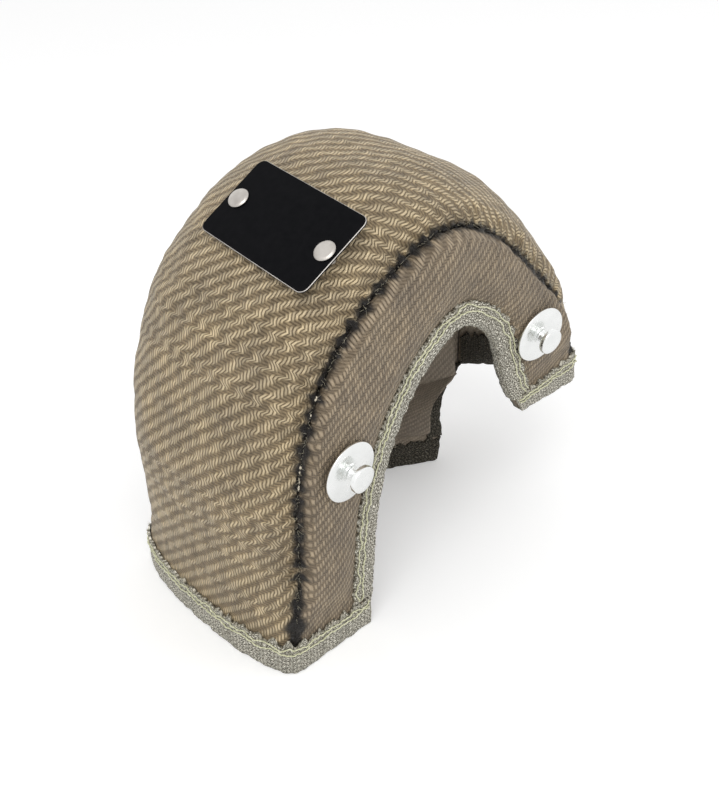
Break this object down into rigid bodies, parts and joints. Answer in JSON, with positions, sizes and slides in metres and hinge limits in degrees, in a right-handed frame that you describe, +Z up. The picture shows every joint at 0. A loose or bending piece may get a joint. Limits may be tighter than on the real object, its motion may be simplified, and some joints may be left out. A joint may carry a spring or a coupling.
{
  "type": "turbo heat blanket",
  "caption": "Padded C-shaped heat blanket for a turbocharger, woven shell with bound edges, a plate and steel lacing posts.",
  "frame": {"origin": "middle of the bounding box on the floor plane that the blanket stands on", "axes": "+X from the long leg to the short leg, +Y from the front side panel to the rear one, +Z up"},
  "size_m": [0.2334, 0.1478, 0.2282],
  "materials": {
    "band_fabric": "coarse glossy bronze twill",
    "side_fabric": "fine taupe twill",
    "liner_fabric": "smooth matte cloth",
    "batting": "needled mineral wool",
    "binding_mesh": "knitted wire and yarn tape",
    "steel": "bright polished",
    "plate_black": "satin black"
  },
  "bodies": {
    "root": {"band_batting": "batting", "band_liner": "liner_fabric", "flap_edge_binding": "binding_mesh", "flap_foot_binding": "binding_mesh", "front_batting": "batting", "front_cutout_binding": "binding_mesh", "front_liner": "liner_fabric", "front_long_leg_post_disc": "steel", "front_long_leg_post_lock_washer": "steel", "front_long_leg_post_stud": "steel", "front_short_leg_post_disc": "steel", "front_short_leg_post_lock_washer": "steel", "front_short_leg_post_stud": "steel", "front_side_panel": "side_fabric", "long_leg_foot_binding": "binding_mesh", "name_plate": "plate_black", "outer_band": "band_fabric", "plate_rivet_1": "steel", "plate_rivet_2": "steel", "rear_batting": "batting", "rear_cutout_binding": "binding_mesh", "rear_liner": "liner_fabric", "rear_long_leg_post_disc": "steel", "rear_long_leg_post_lock_washer": "steel", "rear_long_leg_post_stud": "steel", "rear_short_leg_post_disc": "steel", "rear_short_leg_post_lock_washer": "steel", "rear_short_leg_post_stud": "steel", "rear_side_panel": "side_fabric", "short_leg_end_binding": "binding_mesh"}
  },
  "joints": []
}
